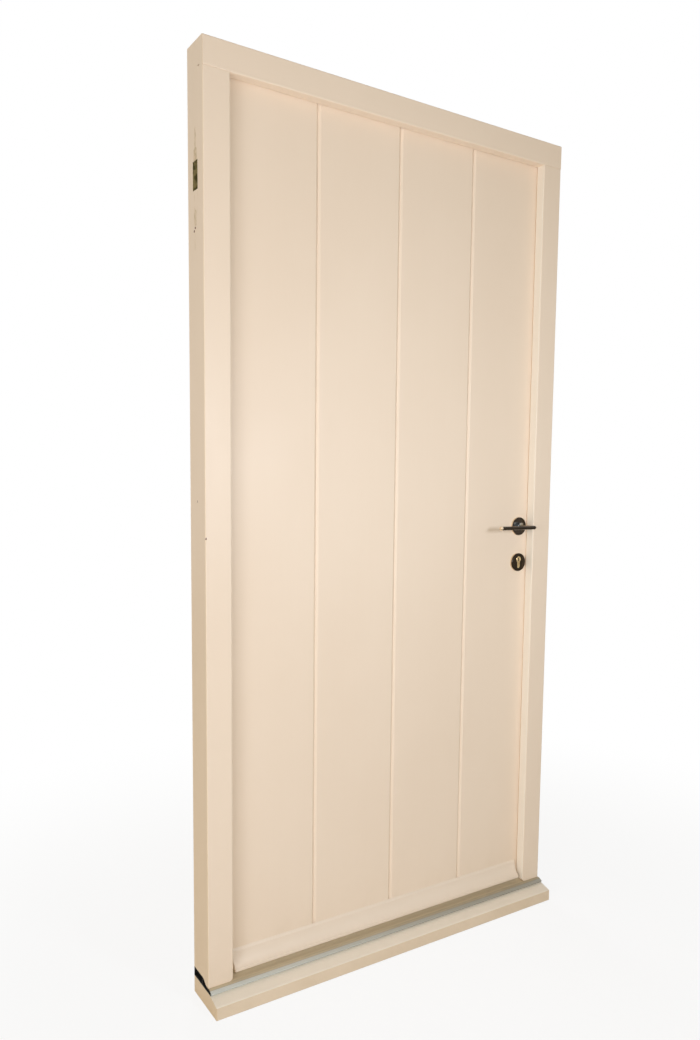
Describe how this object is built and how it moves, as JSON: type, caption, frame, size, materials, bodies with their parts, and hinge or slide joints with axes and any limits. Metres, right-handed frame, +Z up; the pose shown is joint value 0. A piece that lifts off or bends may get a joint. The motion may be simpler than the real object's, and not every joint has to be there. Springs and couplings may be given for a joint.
{
  "type": "boarded timber door with frame",
  "caption": "Painted timber entrance door of vertical boards in a rebated frame on a metal threshold and sill; the leaf swings inwards on lift-off hinges, with lever latch and key bolt.",
  "frame": {"origin": "middle of the doorset's width, in the plane of the frame's outer face, on the underside of the sill", "axes": "+X towards the lock side, +Y inwards, away from the outer face, +Z up"},
  "size_m": [1, 0.208, 2.1],
  "materials": {
    "frame_paint": "cream paint on planed timber, bare and stained in the fixing pocket",
    "leaf_paint": "cream satin paint on planed boards",
    "threshold_aluminium": "mill finish extrusion",
    "seal_rubber": "matt extruded strip",
    "hinge_steel": "satin",
    "lock_steel": "satin",
    "cylinder_brass": "satin brass",
    "dark_bronze": "dark bronze, polished"
  },
  "bodies": {
    "frame": {"frame_head": "frame_paint", "hinge_jamb": "frame_paint", "lock_jamb": "frame_paint", "sill": "frame_paint", "threshold": "threshold_aluminium", "head_seal": "seal_rubber", "hinge_side_seal": "seal_rubber", "lock_side_seal": "seal_rubber", "strike_plate": "lock_steel", "hinge_top_frame_flap": "hinge_steel", "hinge_middle_frame_flap": "hinge_steel", "hinge_bottom_frame_flap": "hinge_steel", "hinge_top_pin": "hinge_steel", "hinge_middle_pin": "hinge_steel", "hinge_bottom_pin": "hinge_steel"},
    "leaf": {"board_1": "leaf_paint", "board_2": "leaf_paint", "board_3": "leaf_paint", "board_4": "leaf_paint", "hinge_stile": "leaf_paint", "lock_stile": "leaf_paint", "top_rail": "leaf_paint", "middle_rail": "leaf_paint", "bottom_rail": "leaf_paint", "weatherboard": "leaf_paint", "bottom_seal": "seal_rubber", "lock_case": "lock_steel", "lock_faceplate": "lock_steel", "cylinder_body": "cylinder_brass", "outer_rose": "dark_bronze", "inner_rose": "dark_bronze", "outer_escutcheon": "dark_bronze", "inner_escutcheon": "dark_bronze", "hinge_top_leaf_flap": "hinge_steel", "hinge_middle_leaf_flap": "hinge_steel", "hinge_bottom_leaf_flap": "hinge_steel"},
    "handle": {"outer_lever": "dark_bronze", "inner_lever": "dark_bronze", "spindle": "lock_steel", "lock_follower": "lock_steel"},
    "latch": {"latch_bolt": "lock_steel"},
    "key_barrel": {"outer_plug": "cylinder_brass", "inner_plug": "cylinder_brass", "cylinder_cam": "cylinder_brass"},
    "bolt": {"dead_bolt": "lock_steel"}
  },
  "joints": [
    {"name": "leaf_swing", "type": "hinge", "parent": "frame", "child": "leaf", "pos_m": [-0.452, 0.094, 1.05], "axis": [0, 0, 1], "range_deg": [0, 180]},
    {"name": "handle_turn", "type": "hinge", "parent": "leaf", "child": "handle", "pos_m": [0.41, 0.059, 1.077], "axis": [0, -1, 0], "range_deg": [0, 40], "stiffness_Nm_per_rad": 1.5, "springref_deg": -20.05},
    {"name": "latch_slide", "type": "slide", "parent": "leaf", "child": "latch", "axis": [1, 0, 0], "range_m": [-0.012, 0]},
    {"name": "key_turn", "type": "hinge", "parent": "leaf", "child": "key_barrel", "pos_m": [0.41, 0.059, 0.985], "axis": [0, 1, 0], "range_deg": [0, 360]},
    {"name": "bolt_slide", "type": "slide", "parent": "leaf", "child": "bolt", "axis": [1, 0, 0], "range_m": [0, 0.02]}
  ],
  "couplings": [
    {"joint": "latch_slide", "follows": "handle_turn", "m_per_rad": -0.017147},
    {"joint": "key_turn", "follows": "bolt_slide", "rad_per_m": 314.16}
  ]
}
